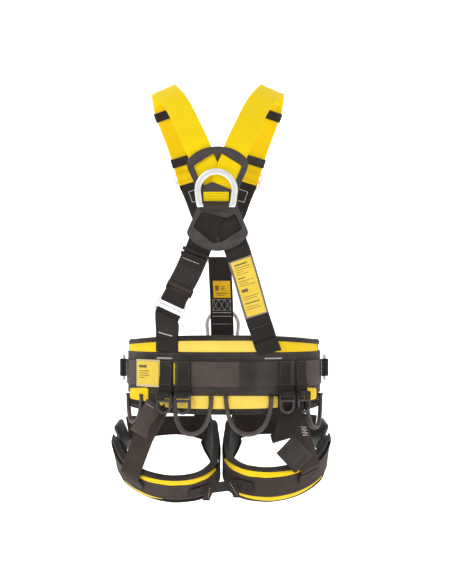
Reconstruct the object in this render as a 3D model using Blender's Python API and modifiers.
"""Full-body work harness hanging as if worn by an unseen body.

Metres, +Z up.  The wearer faces +Y, so the back of the harness faces -Y.
The origin lies between the tops of the two shoulder straps.
Lengths below are written in millimetres and scaled when a mesh is made.
"""
import math

import bmesh
import bpy
from mathutils import Matrix, Vector

MM = 0.001

# Driving dimensions, mm
GAP = 0.3                   # clearance between layers that touch
WEBBING = 45.0              # width of the load-bearing webbing
THICK = 2.0                 # webbing thickness
UPPER_X = -7.5              # the upper body hangs a little off the belt's centre
BACK_PLATE_Y = -123.2       # middle of the rear plate
PLATE_THICK = 2.4
WAIST_X = 4.0               # centre of the belt
WAIST_A = 165.0             # half width of the belt's inner ellipse
WAIST_B = 113.0             # half depth of the belt's inner ellipse
PAD_THICK = 10.0
WAIST_STEP = 6              # degrees between the belt's shared stations
BELT_TOP = -442.0
BELT_BOTTOM = -581.0
BACKING_TOP = -471.3
BACKING_BOTTOM = -547.8
WAIST_WEB_Z = -509.8        # middle height of the waist webbing
LEG_PAD_WIDTH = 74.0
LEG_PAD_THICK = 10.0

# Layers on the belt, measured outward from the pad's inner face, mm
PAD_MID = PAD_THICK / 2
BACKING_MID = PAD_THICK + GAP + THICK / 2
WAIST_WEB_MID = BACKING_MID + THICK + GAP
OUTER_MID = WAIST_WEB_MID + THICK + 2 * GAP

# Layers on the back, as Y of each middle surface, mm
LAYER_1_Y = BACK_PLATE_Y - PLATE_THICK / 2 - GAP - THICK / 2
LAYER_2_Y = LAYER_1_Y - THICK - GAP
COVER_Y = LAYER_2_Y - THICK / 2 - GAP - PLATE_THICK / 2

for old in list(bpy.data.objects):
    bpy.data.objects.remove(old, do_unlink=True)

harness = bpy.data.collections.new("safety_harness")
bpy.context.scene.collection.children.link(harness)


# ---------------------------------------------------------------- finishes

def finish(name, colour, roughness, metallic=0.0):
    """A Principled material with one colour, roughness and metallic value."""
    made = bpy.data.materials.new(name)
    made.use_nodes = True
    shader = made.node_tree.nodes["Principled BSDF"]
    shader.inputs["Base Color"].default_value = (*colour, 1.0)
    shader.inputs["Roughness"].default_value = roughness
    shader.inputs["Metallic"].default_value = metallic
    return made


YELLOW = finish("yellow_webbing", (0.95, 0.68, 0.01), 0.75)
BLACK = finish("black_webbing", (0.022, 0.018, 0.018), 0.8)
BROWN = finish("brown_webbing", (0.06, 0.045, 0.045), 0.8)
PAD = finish("pad_fabric", (0.03, 0.026, 0.028), 0.85)
PLATE = finish("plate_plastic", (0.07, 0.065, 0.07), 0.55)
LOOP = finish("loop_plastic", (0.05, 0.04, 0.04), 0.5)
STEEL = finish("bright_metal", (0.8, 0.8, 0.82), 0.25, 1.0)
TAG = finish("orange_tag", (0.9, 0.5, 0.02), 0.6)


# ---------------------------------------------------------------- helpers

def add_object(name, mesh, material):
    """Put a mesh into the harness under its node name."""
    made = bpy.data.objects.new(name, mesh)
    mesh.materials.append(material)
    harness.objects.link(made)
    return made


def smooth(points, per_span):
    """Catmull-Rom curve through hand-picked tuples of any length."""
    padded = [points[0]] + list(points) + [points[-1]]
    curve = []
    for i in range(1, len(padded) - 2):
        p0, p1, p2, p3 = padded[i - 1:i + 3]
        for step in range(per_span):
            t = step / per_span
            curve.append(tuple(
                0.5 * (2 * b + (c - a) * t + (2 * a - 5 * b + 4 * c - d) * t * t
                       + (3 * b - a - 3 * c + d) * t ** 3)
                for a, b, c, d in zip(p0, p1, p2, p3)))
    curve.append(tuple(points[-1]))
    return curve


def sheet(name, rows, thickness, material):
    """A layer of cloth or webbing: rows of points, thickened by Solidify."""
    bm = bmesh.new()
    grid = [[bm.verts.new(Vector(p) * MM) for p in row] for row in rows]
    for a, b in zip(grid, grid[1:]):
        for i in range(len(a) - 1):
            bm.faces.new((a[i], a[i + 1], b[i + 1], b[i]))
    mesh = bpy.data.meshes.new(name)
    bm.to_mesh(mesh)
    bm.free()
    made = add_object(name, mesh, material)
    skin = made.modifiers.new("thickness", "SOLIDIFY")
    skin.thickness = thickness * MM
    skin.offset = 0.0
    skin.use_even_offset = True
    return made


def ribbon(name, stations, material, width=WEBBING, thickness=THICK):
    """A flat strap: each station is its middle point and its across direction."""
    rows = []
    for centre, across in stations:
        half = Vector(across).normalized() * width / 2
        rows.append((Vector(centre) - half, Vector(centre) + half))
    return sheet(name, rows, thickness, material)


def curl(centre, axis, first, sweep, steps=9):
    """Points round a bar: first is the offset of the first one, sweep in degrees."""
    turns = [Matrix.Rotation(math.radians(sweep) * i / steps, 3, Vector(axis))
             for i in range(steps + 1)]
    return [Vector(centre) + turn @ Vector(first) for turn in turns]


def mesh_of_curve(name, data):
    """Turn a curve into a welded mesh."""
    holder = bpy.data.objects.new(name + "_curve", data)
    harness.objects.link(holder)
    evaluated = holder.evaluated_get(bpy.context.evaluated_depsgraph_get())
    mesh = bpy.data.meshes.new_from_object(evaluated)
    bpy.data.objects.remove(holder, do_unlink=True)
    bm = bmesh.new()
    bm.from_mesh(mesh)
    bmesh.ops.remove_doubles(bm, verts=bm.verts, dist=1e-6)
    bmesh.ops.recalc_face_normals(bm, faces=bm.faces)
    bm.to_mesh(mesh)
    bm.free()
    mesh.materials.clear()
    mesh.name = name
    return mesh


def tube(name, points, diameter, material, closed=False):
    """A round bar or hose along a path, with flat ends or closed on itself."""
    data = bpy.data.curves.new(name + "_path", "CURVE")
    data.dimensions = "3D"
    data.bevel_depth = diameter / 2 * MM
    data.bevel_resolution = 2
    data.use_fill_caps = not closed
    spline = data.splines.new("POLY")
    spline.points.add(len(points) - 1)
    for place, point in zip(spline.points, points):
        place.co = (*(Vector(point) * MM), 1.0)
    spline.use_cyclic_u = closed
    mesh = mesh_of_curve(name, data)
    mesh.shade_smooth()
    return add_object(name, mesh, material)


def plate(name, outlines, thickness, matrix, material):
    """A flat piece: the first outline is its edge, the others are its holes."""
    data = bpy.data.curves.new(name + "_outline", "CURVE")
    data.dimensions = "2D"
    data.fill_mode = "BOTH"
    data.extrude = thickness / 2 * MM
    for outline in outlines:
        spline = data.splines.new("POLY")
        spline.points.add(len(outline) - 1)
        for place, (x, y) in zip(spline.points, outline):
            place.co = (x * MM, y * MM, 0.0, 1.0)
        spline.use_cyclic_u = True
    made = add_object(name, mesh_of_curve(name, data), material)
    made.matrix_world = matrix
    return made


def facing(origin, across, up):
    """Matrix of a plate whose outline runs along across and up from origin."""
    x = Vector(across).normalized()
    z = x.cross(Vector(up)).normalized()
    y = z.cross(x)
    turn = Matrix((x, y, z)).transposed().to_4x4()
    return Matrix.Translation(Vector(origin) * MM) @ turn


def arc(cx, cy, radius, start, end, steps):
    """Points of an arc in a plate's plane, angles in degrees."""
    angles = [math.radians(start + (end - start) * i / steps) for i in range(steps + 1)]
    return [(cx + radius * math.cos(a), cy + radius * math.sin(a)) for a in angles]


def rounded(width, height, radius, steps=3):
    """A rectangle with round corners about (0, 0)."""
    w, h = width / 2 - radius, height / 2 - radius
    corners = ((w, h, 0), (-w, h, 90), (-w, -h, 180), (w, -h, 270))
    return [p for x, y, a in corners for p in arc(x, y, radius, a, a + 90, steps)]


def mirrored(points, side):
    """Points of a symmetric outline; side is -1 for the left copy."""
    return [(side * x, y) for x, y in points]


# ---------------------------------------------------------------- back plate

BACK = facing((UPPER_X, BACK_PLATE_Y, 0), (1, 0, 0), (0, 0, 1))
FRONT = facing((UPPER_X, COVER_Y, 0), (1, 0, 0), (0, 0, 1))
RIGHT_EDGE = [(23, -109), (39, -117), (51, -127), (55, -136), (52.5, -148), (46, -161),
              (38, -180), (35.5, -197), (36, -215), (41, -227), (53, -253), (54.5, -260),
              (51, -268), (38, -280), (19, -289)]
PLATE_EDGE = [(0, -105.5)] + RIGHT_EDGE + [(0, -292)] + mirrored(RIGHT_EDGE, -1)[::-1]
UPPER_WINDOW = [(0, -131), (6, -118), (43, -141), (35, -160), (27, -184), (-9, -169),
                (-24, -176), (-35, -160), (-43, -141), (-6, -118)]
LOWER_WINDOW = [(-28, -222), (17, -233), (31, -225), (44, -252), (7, -275), (-8, -277),
                (-43, -248)]
plate("back_plate", [PLATE_EDGE], PLATE_THICK, BACK, PLATE)
plate("back_plate_cover", [PLATE_EDGE, UPPER_WINDOW, LOWER_WINDOW], PLATE_THICK, FRONT, PLATE)


# ---------------------------------------------------------------- shoulder straps

CROSS_SLOPE = 68 / 178      # sideways run of a back strap for each mm of fall
CROSS_TILT = math.degrees(math.atan(CROSS_SLOPE))
CROSS_TOP_X = 33.0
CROSS_TOP_Z = -112.0
YELLOW_END_Z = -189.0
CHEST_START_Z = -152.0

# One shoulder, from the back plate over the shoulder to the chest: x, y, z, tilt
SHOULDER_RUN = [(42, -120.5, -91, 22), (51.5, -108, -71, 24), (61, -92, -50, 25),
                (70.5, -75, -31, 25), (81, -57, -14, 25), (90, -37, -2, 24),
                (98, -8, 8.5, 24), (102.5, 18, 11.5, 23), (103, 36, 9, 22),
                (101, 49, -6, 21), (97, 57, -25, 20), (86, 66, -55, 18),
                (75, 76, -84, 17), (65, 85, -114, 17), (54.5, 93, CHEST_START_Z, 17)]
CHEST_RUN = [(54, 93.4, CHEST_START_Z - 1.4, 17), (43, 98, -182, 17), (33, 103, -213, 14),
             (25, 107, -234, 5), (20.5, 111, -244, 0)]


def cross_station(z, layer_y):
    """A station of the flat run where the two straps cross on the back."""
    x = CROSS_TOP_X - (CROSS_TOP_Z - z) * CROSS_SLOPE
    return (x, layer_y, z, CROSS_TILT)


def strap_stations(run, side):
    """Middle points and across directions of a strap on one side of the body."""
    stations = []
    for x, y, z, tilt in run:
        lean = math.radians(tilt)
        across = (math.cos(lean), 0, -side * math.sin(lean))
        stations.append(((UPPER_X + side * x, y, z), across))
    return stations


CONNECTOR_Y = 114.0
CONNECTOR_TOP_Z = -250.0
CONNECTOR_BOTTOM_Z = -303.0
CONNECTOR_WIRE = 8.0
CONNECTOR_STRAP = 34.0      # width the chest straps are gathered to on the connector
WRAP = THICK / 2 + 0.5      # middle of a wrapped strap outside the bar it holds


def shoulder(side, name, layer_y):
    """The yellow shoulder strap of one side and the black chest strap below it."""
    flat = [cross_station(z, layer_y) for z in (YELLOW_END_Z, -150, CROSS_TOP_Z)]
    run = flat[:-1] + smooth(flat[-1:] + SHOULDER_RUN, 2)
    ribbon("shoulder_strap_" + name, strap_stations(run, side), YELLOW)
    stations = []
    chest = smooth(CHEST_RUN, 3)
    for i, (x, y, z, tilt) in enumerate(chest):
        lean = math.radians(tilt)
        narrow = WEBBING - (WEBBING - CONNECTOR_STRAP) * i / (len(chest) - 1)
        across = Vector((math.cos(lean), 0, -side * math.sin(lean))) * narrow / 2
        centre = Vector((UPPER_X + side * x, y, z))
        stations.append((centre - across, centre + across))
    radius = CONNECTOR_WIRE / 2 + WRAP
    bar = (UPPER_X + side * 20.5, CONNECTOR_Y, CONNECTOR_TOP_Z)
    half = Vector((CONNECTOR_STRAP / 2, 0, 0))
    for point in curl(bar, (1, 0, 0), (0, 0, radius), -290)[1:]:
        stations.append((point - half, point + half))
    sheet("chest_strap_" + name, stations, THICK, BLACK)


shoulder(-1, "left", LAYER_1_Y)
shoulder(1, "right", LAYER_2_Y)


def keeper(name, middle, across, outward, height, play):
    """An elastic band round a strap; play is its room over the strap, across and through."""
    outer = rounded(WEBBING + 4.8, THICK + 5, 1.9, 2)
    inner = rounded(WEBBING + play[0], THICK + play[1], 0.4, 1)
    plate(name, [outer, inner], height, facing(middle, across, outward), BLACK)


def strap_point(run, z):
    """The station of a run at a height, on its way down the front."""
    for a, b in zip(run, run[1:]):
        if b[2] <= z <= a[2] and a[1] > 0:
            t = (a[2] - z) / (a[2] - b[2])
            return tuple(p + (q - p) * t for p, q in zip(a, b)), Vector(b[:3]) - Vector(a[:3])
    raise ValueError("no station at this height")


for side, name in ((-1, "left"), (1, "right")):
    for level, height in (("upper", -29.0), ("lower", -114.0)):
        (x, y, z, tilt), fall = strap_point(smooth(SHOULDER_RUN, 2), height)
        lean = math.radians(tilt)
        fall.x *= side
        across = Vector((math.cos(lean), 0, -side * math.sin(lean)))
        keeper("shoulder_keeper_%s_%s" % (level, name), (UPPER_X + side * x, y, z), across,
               fall.cross(across), 17.0, (1.4, 2.0))


def adjuster(name, side):
    """A steel frame with a middle bar, on edge beside the strap it grips."""
    (x, y, z, tilt), fall = strap_point(smooth(SHOULDER_RUN, 2) + CHEST_RUN[1:2],
                                        CHEST_START_Z + 3)
    lean = math.radians(tilt)
    across = Vector((math.cos(lean), 0, -side * math.sin(lean)))
    fall.x *= side
    normal = fall.cross(across).normalized()
    outer = rounded(58, 33, 5)
    upper = [(px, py + 7.5) for px, py in rounded(48.5, 8.5, 1.5, 2)]
    lower = [(px, py - 7.5) for px, py in rounded(48.5, 8.5, 1.5, 2)]
    origin = Vector((UPPER_X + side * x, y, z)) - normal * (THICK / 2 + GAP + 1.6)
    plate(name, [outer, upper, lower], 3.0, facing(origin, across, -fall), STEEL)


adjuster("shoulder_adjuster_left", -1)
adjuster("shoulder_adjuster_right", 1)


# ---------------------------------------------------------------- dorsal ring

RING_X = UPPER_X - 2.5
RING_BAR_Z = -211.0
RING_THICK = 6.0
RING_BAR = 7.0              # height of the bar at the foot of the ring
SLEEVE_WIDTH = 45.0
SLEEVE_RADIUS = math.hypot(RING_BAR, RING_THICK) / 2 + WRAP
RING_Y = COVER_Y - PLATE_THICK / 2 - GAP - SLEEVE_RADIUS - THICK / 2

ring_edge = arc(0, 27.0, 38, -12, 192, 26) + [(-34.5, 0), (-33, -3.5), (33, -3.5), (34.5, 0)]
ring_eye = arc(0, 27.0, 27, -10, 190, 22) + [(-24.4, 5), (-23.4, 3.5), (23.4, 3.5), (24.4, 5)]
ring = plate("dorsal_ring", [ring_edge, ring_eye], RING_THICK,
             facing((RING_X, RING_Y, RING_BAR_Z), (1, 0, 0), (0, 0, 1)), STEEL)
edge = ring.modifiers.new("round_edge", "BEVEL")
edge.width = 1.2 * MM
edge.segments = 1

bar = (RING_X, RING_Y, RING_BAR_Z)
tail_y = RING_Y + SLEEVE_RADIUS
sleeve_path = [(RING_X, tail_y, RING_BAR_Z + 24), (RING_X, tail_y, RING_BAR_Z + 12)]
sleeve_path += curl(bar, (1, 0, 0), (0, SLEEVE_RADIUS, 0), -285, 12)
ribbon("dorsal_sleeve", [(p, (1, 0, 0)) for p in sleeve_path], YELLOW, SLEEVE_WIDTH)


# ---------------------------------------------------------------- belt

def waist(theta, offset, z=0.0):
    """A point on the belt: theta in degrees from +X, offset out from the pad's inner face."""
    a = math.radians(theta)
    normal = waist_normal(theta)
    return Vector((WAIST_X + WAIST_A * math.cos(a), WAIST_B * math.sin(a), z)) + normal * offset


def waist_normal(theta):
    """Outward direction of the belt's ellipse."""
    a = math.radians(theta)
    return Vector((math.cos(a) / WAIST_A, math.sin(a) / WAIST_B, 0)).normalized()


def waist_along(theta):
    """Direction along the belt, from the wearer's right towards the front."""
    return Vector((0, 0, 1)).cross(waist_normal(theta))


def waist_theta(x, offset):
    """The angle on the back of the belt at a sideways position."""
    low, high = -180.0, 0.0
    for _ in range(40):
        middle = (low + high) / 2
        if waist(middle, offset).x < x:
            low = middle
        else:
            high = middle
    return middle


def belt_layer(name, start, end, levels, middle, thickness, material):
    """A layer round the belt between two angles; levels gives its z values at an angle."""
    count = round((end - start) / WAIST_STEP)
    angles = [start + WAIST_STEP * i for i in range(count + 1)]
    return sheet(name, [[waist(a, middle, z) for z in levels(a)] for a in angles],
                 thickness, material)


PAD_ENDS = (-198, 18)


def pad_levels(theta):
    """Bottom, middle and top of the waist pad: it narrows towards its ends."""
    side = abs(math.cos(math.radians(theta))) ** 3
    end = max(0.0, min(abs(theta - PAD_ENDS[0]), abs(theta - PAD_ENDS[1])))
    pinch = 22 * max(0.0, 1 - end / 12) ** 2
    top = BELT_TOP - 10 * side - pinch
    bottom = BELT_BOTTOM + 8 * side + pinch
    return (bottom, (top + bottom) / 2, top)


belt_layer("waist_pad", *PAD_ENDS, pad_levels, PAD_MID, PAD_THICK, PAD)
belt_layer("waist_backing", PAD_ENDS[0] + WAIST_STEP, PAD_ENDS[1] - WAIST_STEP,
           lambda a: (BACKING_BOTTOM, BACKING_TOP), BACKING_MID, THICK, BLACK)
BUCKLE_THETA = 48           # the belt's buckle, on the wearer's front right
BUCKLE_GAP = 12             # half the angle the buckle takes up
belt_layer("waist_webbing", BUCKLE_THETA + BUCKLE_GAP - 360, BUCKLE_THETA - BUCKLE_GAP,
           lambda a: (WAIST_WEB_Z - WEBBING / 2, WAIST_WEB_Z + WEBBING / 2),
           WAIST_WEB_MID, THICK, BROWN)


def ladder(width, height, bars, hole):
    """Outline of a buckle frame with two slots either side of its middle bar."""
    slot = rounded(hole, height - 2 * bars, 1.5, 2)
    shift = (width - 2 * bars - hole) / 2
    return [rounded(width, height, 4)] + [[(x + s * shift, y) for x, y in slot] for s in (-1, 1)]


buckle_at = waist(BUCKLE_THETA, WAIST_WEB_MID, WAIST_WEB_Z)
chord = (waist(BUCKLE_THETA + BUCKLE_GAP, WAIST_WEB_MID)
         - waist(BUCKLE_THETA - BUCKLE_GAP, WAIST_WEB_MID)).length
BUCKLE_LENGTH = min(52.0, chord - 4)
plate("waist_buckle", ladder(BUCKLE_LENGTH, 60, 6, 14), 3.0,
      facing(buckle_at, waist_along(BUCKLE_THETA), (0, 0, 1)), STEEL)
tongue_at = buckle_at + waist_normal(BUCKLE_THETA) * (3.0 + GAP)
plate("waist_buckle_tongue", [rounded(26, 54, 4), rounded(8, 42, 1.5, 2)], 3.0,
      facing(tongue_at, waist_along(BUCKLE_THETA), (0, 0, 1)), STEEL)


# ---------------------------------------------------------------- side rings

SIDE_BAR = 6.0
SIDE_THICK = 5.0
SIDE_HEIGHT = 48.0
SIDE_REACH = 15.0           # from the bar to the middle of the ring's bow
SIDE_Z = -503.0
SIDE_WRAP = math.hypot(SIDE_BAR, SIDE_THICK) / 2 + WRAP
SIDE_OFFSET = WAIST_WEB_MID + THICK / 2 + GAP + SIDE_WRAP + THICK / 2


def side_ring(name, theta):
    """A forged D-ring lying flat on the belt's side, its bar upright in a webbing anchor."""
    bar = waist(theta, SIDE_OFFSET, SIDE_Z)
    half, half_bar = SIDE_HEIGHT / 2, SIDE_BAR / 2
    edge = [(-half_bar, -half), *arc(SIDE_REACH, 0, half, -90, 90, 14), (-half_bar, half)]
    eye = [(half_bar, SIDE_BAR - half),
           *arc(SIDE_REACH, 0, half - SIDE_BAR, -90, 90, 12), (half_bar, half - SIDE_BAR)]
    plate("side_ring_" + name, [edge, eye], SIDE_THICK,
          facing(bar, (0, 1, 0), (0, 0, 1)), STEEL)
    out = waist_normal(theta)
    start = -out * SIDE_WRAP
    path = [bar + start - Vector((0, d, 0)) for d in (26, 12)]
    path += curl(bar, (0, 0, 1), start, 285 * out.x / abs(out.x), 12)
    ribbon("side_anchor_" + name, [(p, (0, 0, 1)) for p in path], BLACK,
           SIDE_HEIGHT - 2 * SIDE_BAR - 4)


side_ring("left", 180)
side_ring("right", 0)


# ---------------------------------------------------------------- gear and tool loops

GEAR_WIRE = 8.0
GEAR_OFFSET = PAD_THICK + 2 * GAP + GEAR_WIRE / 2
GEAR_TOP = BACKING_BOTTOM - 1.0
GEAR_SHAPE = [(0, 0), (0.02, -0.28), (0.1, -0.66), (0.26, -0.92), (0.47, -1.0),
              (0.7, -0.93), (0.88, -0.7), (0.98, -0.32), (1, 0)]


def gear_loop(name, start, end, drop):
    """A hose loop under the belt between two angles."""
    points = [waist(start + (end - start) * u, GEAR_OFFSET, GEAR_TOP + drop * v)
              for u, v in smooth(GEAR_SHAPE, 3)]
    tube(name, points, GEAR_WIRE, LOOP)


gear_loop("gear_loop_left_side", -168, -147, 52)
gear_loop("gear_loop_left_back", waist_theta(-86, GEAR_OFFSET), waist_theta(-19, GEAR_OFFSET), 68)
gear_loop("gear_loop_right_back", waist_theta(7, GEAR_OFFSET), waist_theta(88, GEAR_OFFSET), 68)
gear_loop("gear_loop_right_side", waist_theta(153, GEAR_OFFSET), -10, 62)

HANGER_WIDTH = 25.0
HANGER_TOP = -488.0
TOOL_BAR_Z = -547.0
TOOL_THICK = 4.0
TOOL_BAR = 5.0
TOOL_RADIUS = math.hypot(TOOL_THICK, TOOL_BAR) / 2 + WRAP
TOOL_OFFSET = GEAR_OFFSET + GEAR_WIRE / 2 + THICK / 2 + TOOL_RADIUS + 1.2


def tool_loop(name, x):
    """A moulded D hanging from a short webbing strap on the belt."""
    theta = waist_theta(x, OUTER_MID)
    out, along = waist_normal(theta), waist_along(theta)
    bar = waist(theta, TOOL_OFFSET, TOOL_BAR_Z)
    edge = [(-15.5, 2.5), (-15.5, -15)] + arc(0, -19, 15.5, 190, 350, 12) + [(15.5, -15), (15.5, 2.5)]
    slot = [(-13.2, -2.5), (13.2, -2.5), (13.2, -8), (-13.2, -8)]
    window = [(-10.5, -13), (10.5, -13)] + arc(0, -19, 10.5, -10, -170, 10)
    plate("tool_loop_" + name, [edge, slot, window], TOOL_THICK,
          facing(bar, along, (0, 0, 1)), LOOP)
    start = -out * TOOL_RADIUS
    path = [waist(theta, OUTER_MID, z) for z in (HANGER_TOP, HANGER_TOP - 22)]
    path += [bar + start + Vector((0, 0, 12))] + curl(bar, along, start, 285, 12)
    ribbon("tool_hanger_" + name, [(p, along) for p in path], BLACK, HANGER_WIDTH)


for name, x in (("1", -99), ("2", -67), ("3", 112), ("4", 141)):
    tool_loop(name, x)


# ---------------------------------------------------------------- chest and front

FRONT_X = UPPER_X + 3
VENTRAL_BAR, VENTRAL_THICK = 8.0, 6.0
VENTRAL_WRAP = math.hypot(VENTRAL_BAR, VENTRAL_THICK) / 2 + WRAP
VENTRAL_BAR_Z = -468.0
STERNAL_WIDTH = 44.0
STERNAL_END_Y = WAIST_B + WAIST_WEB_MID + THICK + GAP + 0.1
VENTRAL_Y = STERNAL_END_Y + THICK / 2 + GAP + 0.1 + VENTRAL_WRAP + THICK / 2
VENTRAL_X = 1.0


def link_path(cx, y, corners, radius):
    """A closed wire through round corners, in a plane facing +Y."""
    points = []
    for (x, z), (a, b) in corners:
        points += [(cx + px, y, pz) for px, pz in arc(x, z, radius, a, b, 4)]
    return points


connector_path = link_path(FRONT_X, CONNECTOR_Y, (
    ((42, CONNECTOR_TOP_Z - 7), (-15, 90)), ((-42, CONNECTOR_TOP_Z - 7), (90, 195)),
    ((-22, CONNECTOR_BOTTOM_Z + 7), (200, 270)), ((22, CONNECTOR_BOTTOM_Z + 7), (270, 340))), 7)
tube("sternal_connector", connector_path, CONNECTOR_WIRE, STEEL, closed=True)

STERNAL_RUN = [(FRONT_X, CONNECTOR_Y - CONNECTOR_WIRE / 2 - WRAP, CONNECTOR_BOTTOM_Z),
               (-3.5, 109, -330), (-1.5, 113, -370), (-0.5, 118, -410), (0.5, 124, -447),
               (VENTRAL_X, STERNAL_END_Y, -483), (VENTRAL_X, STERNAL_END_Y, -528)]
sternal_curve = smooth(STERNAL_RUN, 3)
connector_foot = (FRONT_X, CONNECTOR_Y, CONNECTOR_BOTTOM_Z)
top_turn = curl(connector_foot, (1, 0, 0), (0, -CONNECTOR_WIRE / 2 - WRAP, 0), -285, 12)
ribbon("sternal_strap", [(p, (1, 0, 0)) for p in top_turn[:0:-1] + sternal_curve],
       BROWN, STERNAL_WIDTH)


def sternal_at(z):
    """Middle of the sternal strap at a height."""
    for a, b in zip(sternal_curve, sternal_curve[1:]):
        if b[2] <= z <= a[2]:
            return Vector(a).lerp(Vector(b), (a[2] - z) / (a[2] - b[2]))
    raise ValueError("not on the strap")


TAG_LIFT = THICK / 2 + 1.0
tag_path = [sternal_at(z) + Vector((3, -TAG_LIFT, 0)) for z in (-343, -351, -359, -367, -375)]
ribbon("attachment_tag", [(p, (1, 0, 0)) for p in tag_path], TAG, 33.0, 0.8)

ventral_edge = arc(0, 40, 34.5, -6, 186, 24) + [(-30, -4), (30, -4)]
ventral_eye = arc(0, 40, 26.5, -6, 186, 20) + [(-24, 4), (24, 4)]
plate("ventral_ring", [ventral_edge, ventral_eye], VENTRAL_THICK,
      facing((VENTRAL_X, VENTRAL_Y, VENTRAL_BAR_Z), (1, 0, 0), (0, 0, 1)), STEEL)

ventral_bar = Vector((VENTRAL_X, VENTRAL_Y, VENTRAL_BAR_Z))
inner_side = Vector((0, -VENTRAL_WRAP, 0))
ventral_tail = [ventral_bar + inner_side + Vector((0, 0, z)) for z in (-50, -12)]
ventral_tail += curl(ventral_bar, (1, 0, 0), inner_side, -285, 12)
ribbon("ventral_sleeve", [(p, (1, 0, 0)) for p in ventral_tail], BLACK, 36.0)


# ---------------------------------------------------------------- lower back straps

def back_station(x, y, z, tilt, yaw):
    """Middle and across of a strap on the back; yaw turns it round the waist."""
    lean, turn = math.radians(tilt), math.radians(yaw)
    level = Vector((math.cos(turn), math.sin(turn), 0))
    return Vector((x, y, z)), level * math.cos(lean) - Vector((0, 0, 1)) * math.sin(lean)


def belt_station(x, z, offset, tilt):
    """A station of a strap lying on the back of the belt, as x, y, z, tilt, yaw."""
    theta = waist_theta(x, offset)
    place = waist(theta, offset, z)
    normal = waist_normal(theta)
    return (place.x, place.y, z, tilt, math.degrees(math.atan2(normal.x, -normal.y)))


def crossing(side, z, layer_y):
    """The flat crossing run as a back station; side is the shoulder it comes from."""
    x, y, z, tilt = cross_station(z, layer_y)
    return (UPPER_X + side * x, y, z, side * tilt, 0)


BLACK_START_Z = YELLOW_END_Z - 1.6
BELT_EDGE_Z = BACKING_TOP + 0.6
right_run = [crossing(-1, BLACK_START_Z, LAYER_1_Y)] + smooth(
    [crossing(-1, -292, LAYER_1_Y), (34.5, -124.0, -312, -19, 1), (42, -121.8, -336, -17, 4),
     (51.5, -119.2, -369, -16.5, 8), (62, -117.2, -405, -17, 13),
     belt_station(73, -438, BACKING_MID + 1.5, -17), belt_station(78.5, -456, BACKING_MID, -15),
     belt_station(82, BELT_EDGE_Z + 6, BACKING_MID, -13)], 2)
ribbon("back_strap_right", [back_station(*s) for s in right_run], BLACK)

FRAME_TILT, FRAME_YAW = 24.5, -9
FRAME_BAR, FRAME_THICK = 4.6, 4.0
FRAME_PITCH = 11.5          # between the frame's three bars
frame_centre, frame_across = back_station(-91, -117.5, -392, FRAME_TILT, FRAME_YAW)
frame_out = Vector((math.sin(math.radians(FRAME_YAW)), -math.cos(math.radians(FRAME_YAW)), 0))
frame_up = frame_out.cross(frame_across)
slots = [[(x, y + s * FRAME_PITCH / 2) for x, y in
          rounded(WEBBING + 3, FRAME_PITCH - FRAME_BAR, 1.2, 2)] for s in (-1, 1)]
plate("back_buckle", [rounded(WEBBING + 12, 2 * FRAME_PITCH + FRAME_BAR, 4)] + slots,
      FRAME_THICK, facing(frame_centre, frame_across, frame_up), STEEL)

frame_wrap = math.hypot(FRAME_BAR, FRAME_THICK) / 2 + THICK / 2 + 0.25
upper_bar = frame_centre + frame_up * FRAME_PITCH
lower_bar = frame_centre - frame_up * FRAME_PITCH
above = upper_bar + frame_out * frame_wrap + frame_up * 5
left_run = [crossing(1, BLACK_START_Z, LAYER_2_Y)] + smooth(
    [crossing(1, -292, LAYER_2_Y), (-51.5, -127.4, -312, 22, -1), (-63.5, -126, -338, 24, -5),
     (*above, FRAME_TILT, FRAME_YAW)], 2)
stations = [back_station(*s) for s in left_run]
stations += [(p, frame_across) for p in
             curl(upper_bar, frame_across, frame_out * frame_wrap, 285, 12)]
ribbon("back_strap_left", stations, BLACK)

lower_turn = curl(lower_bar, frame_across, frame_out * frame_wrap, -285, 12)
below = lower_bar + frame_out * frame_wrap - frame_up * 4
lower_run = smooth([(*below, FRAME_TILT, FRAME_YAW), (-97, -114.5, -424, 7, -20),
                    belt_station(-97.5, -440, BACKING_MID + 1.5, 0),
                    belt_station(-98, -455, BACKING_MID, 0),
                    belt_station(-98, BELT_EDGE_Z, BACKING_MID, 0)], 2)
stations = [(p, frame_across) for p in lower_turn[::-1]]
stations += [back_station(*s) for s in lower_run]
ribbon("waist_link_strap", stations, BLACK)

keeper_middle = Vector(back_station(*left_run[-2])[0])
keeper_fall = Vector(left_run[-1][:3]) - Vector(left_run[-3][:3])
keeper_across = back_station(*left_run[-2])[1]
keeper_up = -(keeper_fall - keeper_fall.project(keeper_across)).normalized()
keeper("back_strap_keeper", keeper_middle, keeper_across, keeper_up.cross(keeper_across),
       14.0, (1.6, 2.2))


# ---------------------------------------------------------------- leg loops

# The left loop from behind its buckle, round the back, to the front: x, y, z, lean.
# lean is how far the upper edge leans away from the thigh, in degrees.
LEG_RUN = [(-186, 12, -641, 6), (-190, -6, -661, 12), (-181, -33, -681, 24),
           (-158, -62, -699, 38), (-127, -84, -711, 46), (-88, -93, -717, 49),
           (-49, -84, -714, 44), (-24, -64, -704, 26), (-13, -36, -690, 5),
           (-12, 0, -668, 0), (-17, 42, -645, 0), (-29, 72, -628, 0), (-46, 91, -617, 0),
           (-77, 99, -612, 0), (-111, 93, -611, 0), (-146, 75, -614, 0), (-172, 52, -620, 0)]
LEG_SPAN = 3                # stations made for each one given
PAD_STATIONS = 11           # the pad ends at this one, at the front of the inner thigh
LEG_CLEAR = 1.7             # the leg webbing bridges the pad's twist
LEG_WEB_MID = LEG_PAD_THICK / 2 + LEG_CLEAR + THICK / 2
LEG_OUTER_MID = LEG_WEB_MID + THICK + LEG_CLEAR


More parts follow.
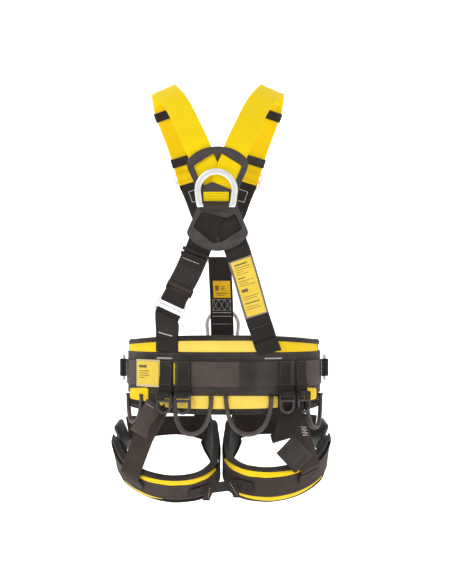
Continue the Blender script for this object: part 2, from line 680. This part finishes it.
def leg_frames(side):
    """Middle, outward normal and across (upward) directions round one leg loop."""
    run = []
    for x, y, z, lean in LEG_RUN:
        back = max(0.0, -y) / 93
        if side > 0:
            run.append((-x - 2, y, z + 6 * back + 2, lean * 0.68))
        else:
            run.append((x, y, z, lean))
    curve = smooth(run, LEG_SPAN)
    centre = Vector((side * 99, 0, 0))
    frames = []
    for i, (x, y, z, lean) in enumerate(curve):
        ahead, behind = curve[min(i + 1, len(curve) - 1)], curve[max(i - 1, 0)]
        along = (Vector(ahead[:3]) - Vector(behind[:3])).normalized()
        out = along.cross(Vector((0, 0, 1))).normalized()
        if out.dot(Vector((x, y, 0)) - centre) < 0:
            out = -out
        up = out.cross(along).normalized()
        if up.z < 0:
            up = -up
        turn = math.radians(lean)
        frames.append((Vector((x, y, z)), out * math.cos(turn) - up * math.sin(turn),
                       up * math.cos(turn) + out * math.sin(turn), along))
    return frames


def leg_layer(name, frames, width, middle, thickness, material, rows=2, pinch=0.0):
    """A layer round a leg loop, pinched narrower towards both ends."""
    made = []
    for i, (place, out, up, _) in enumerate(frames):
        end = min(i, len(frames) - 1 - i)
        reach = width / 2 - pinch * max(0.0, 1 - end / 3) ** 2
        made.append([place + out * middle + up * reach * (2 * r / (rows - 1) - 1)
                     for r in range(rows)])
    return sheet(name, made, thickness, material)


def strap_to_leg(name, frame, start, heights, material, width=WEBBING):
    """A strap from the belt, over a leg loop's outside; start holds (centre, across)."""
    place, out, up, along = frame
    flip = 1 if start[0][1].dot(along) > 0 else -1
    stations = list(start)
    for v in heights:
        stations.append((place + out * LEG_OUTER_MID + up * v, along * flip))
    return ribbon(name, stations, material, width)


def leg(side, name):
    """The padded loop round one thigh with its buckle and the straps that hold it."""
    frames = leg_frames(side)
    last = PAD_STATIONS * LEG_SPAN
    leg_layer("leg_pad_" + name, frames[1:last + 1], LEG_PAD_WIDTH, 0, LEG_PAD_THICK,
              PAD, 3, 14)
    leg_layer("leg_strap_" + name, frames, WEBBING, LEG_WEB_MID, THICK, BROWN)
    first, final = frames[0], frames[-1]
    middle = (first[0] + final[0]) / 2 + (first[1] + final[1]) / 2 * LEG_WEB_MID
    span = (first[0] - final[0]).normalized()
    out = (first[1] + final[1]).normalized()
    up = out.cross(span)
    if up.z < 0:
        up, span = -up, -span
    length = (first[0] - final[0]).length - 14
    plate("leg_buckle_" + name, [rounded(length, WEBBING + 9, 6)], 7.0,
          facing(middle, span, up), PLATE)
    plate("leg_buckle_latch_" + name, [rounded(length - 8, WEBBING - 9, 4)], 3.0,
          facing(middle + out * (3.5 + GAP + 1.5), span, up), STEEL)


def front_riser(frames, side, name):
    """The black strap from the belt's front edge down over the leg loop."""
    theta = -waist_theta(side * 53, WAIST_WEB_MID)
    edge_z = WAIST_WEB_Z - WEBBING / 2 - 2 * GAP
    along = waist_along(theta) * -1
    start = [(waist(theta, WAIST_WEB_MID, z), along) for z in (edge_z, -548, -564)]
    strap_to_leg("front_riser_" + name, frames[RISER_FRAME], start, (16, -16), BLACK, 40.0)


def seat_strap(frames, side, name):
    """The strap from under the belt down over the outside of the seat pad."""
    x, sag = (-121, Vector((-136, -109, -613))) if side < 0 else (129, Vector((138, -103, -612)))
    theta = waist_theta(x, BACKING_MID)
    across = waist_along(theta)
    start = [(waist(theta, BACKING_MID, z), across) for z in (BACKING_BOTTOM - 2 * GAP, -574)]
    frame = frames[SEAT_FRAME]
    along = frame[3] if frame[3].dot(across) > 0 else -frame[3]
    start.append((sag, across.lerp(along, 0.4)))
    strap_to_leg("seat_strap_" + name, frame, start, (34, 18, 0), BLACK)


def crotch_bridge(left, right):
    """A webbing bridge joining the two leg loops at the back of the crotch."""
    rows = []
    for place, out, up, _ in (left[CROTCH_FRAME - 1], left[CROTCH_FRAME + 1]):
        rows.append([place + out * (LEG_OUTER_MID + 1) + up * v for v in (-12, 12)])
    for place, out, up, _ in (right[CROTCH_FRAME + 1], right[CROTCH_FRAME - 1]):
        rows.append([place + out * (LEG_OUTER_MID + 1) + up * v for v in (-12, 12)])
    sheet("crotch_bridge", rows, THICK, BLACK)


# Where on a leg loop's frames each strap reaches it
RISER_FRAME, SEAT_FRAME, CROTCH_FRAME = 36, 10, 18
loops = []
for side, name in ((-1, "left"), (1, "right")):
    leg(side, name)
    loops.append(leg_frames(side))
    front_riser(loops[-1], side, name)
    seat_strap(loops[-1], side, name)
crotch_bridge(*loops)
